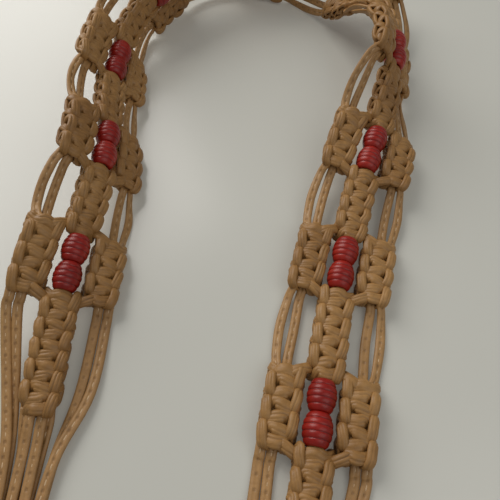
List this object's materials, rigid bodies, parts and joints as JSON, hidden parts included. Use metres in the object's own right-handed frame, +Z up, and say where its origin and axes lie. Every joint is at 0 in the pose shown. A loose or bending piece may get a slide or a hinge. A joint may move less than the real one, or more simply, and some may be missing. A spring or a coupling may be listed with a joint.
{
  "type": "beaded belt",
  "caption": "Belt of flat leather cords in square knots, with pairs of ribbed wooden beads along the middle and gathered, knotted ends, lying in an arch.",
  "frame": {"origin": "centre of the footprint on the table, under the middle of the whole belt as it lies", "axes": "+Y from the two ends towards the top of the arch, +Z up from the table, +X to the right seen from the ends"},
  "size_m": [0.1994, 0.4508, 0.0485],
  "materials": {
    "leather_cord": "tan folded leather cord, soft satin, stitched along its middle",
    "painted_wood": "turned wood painted glossy red, darker in the grooves"
  },
  "bodies": {
    "root": {"bead_01": "painted_wood", "bead_02": "painted_wood", "bead_03": "painted_wood", "bead_04": "painted_wood", "bead_05": "painted_wood", "bead_06": "painted_wood", "bead_07": "painted_wood", "bead_08": "painted_wood", "bead_09": "painted_wood", "bead_10": "painted_wood", "bead_11": "painted_wood", "bead_12": "painted_wood", "bead_13": "painted_wood", "bead_14": "painted_wood", "bead_15": "painted_wood", "bead_16": "painted_wood", "bead_17": "painted_wood", "bead_18": "painted_wood", "bead_19": "painted_wood", "bead_20": "painted_wood", "inner_sinnet_01": "leather_cord", "inner_sinnet_02": "leather_cord", "inner_sinnet_03": "leather_cord", "inner_sinnet_04": "leather_cord", "inner_sinnet_05": "leather_cord", "inner_sinnet_06": "leather_cord", "inner_sinnet_07": "leather_cord", "inner_sinnet_08": "leather_cord", "inner_sinnet_09": "leather_cord", "inner_sinnet_10": "leather_cord", "outer_sinnet_01": "leather_cord", "outer_sinnet_02": "leather_cord", "outer_sinnet_03": "leather_cord", "outer_sinnet_04": "leather_cord", "outer_sinnet_05": "leather_cord", "outer_sinnet_06": "leather_cord", "outer_sinnet_07": "leather_cord", "outer_sinnet_08": "leather_cord", "outer_sinnet_09": "leather_cord", "outer_sinnet_10": "leather_cord", "centre_sinnet_01": "leather_cord", "centre_sinnet_02": "leather_cord", "centre_sinnet_03": "leather_cord", "centre_sinnet_04": "leather_cord", "centre_sinnet_05": "leather_cord", "centre_sinnet_06": "leather_cord", "centre_sinnet_07": "leather_cord", "centre_sinnet_08": "leather_cord", "centre_sinnet_09": "leather_cord", "centre_sinnet_10": "leather_cord", "centre_sinnet_11": "leather_cord", "right_end_knot": "leather_cord", "left_end_knot": "leather_cord"}
  },
  "joints": []
}
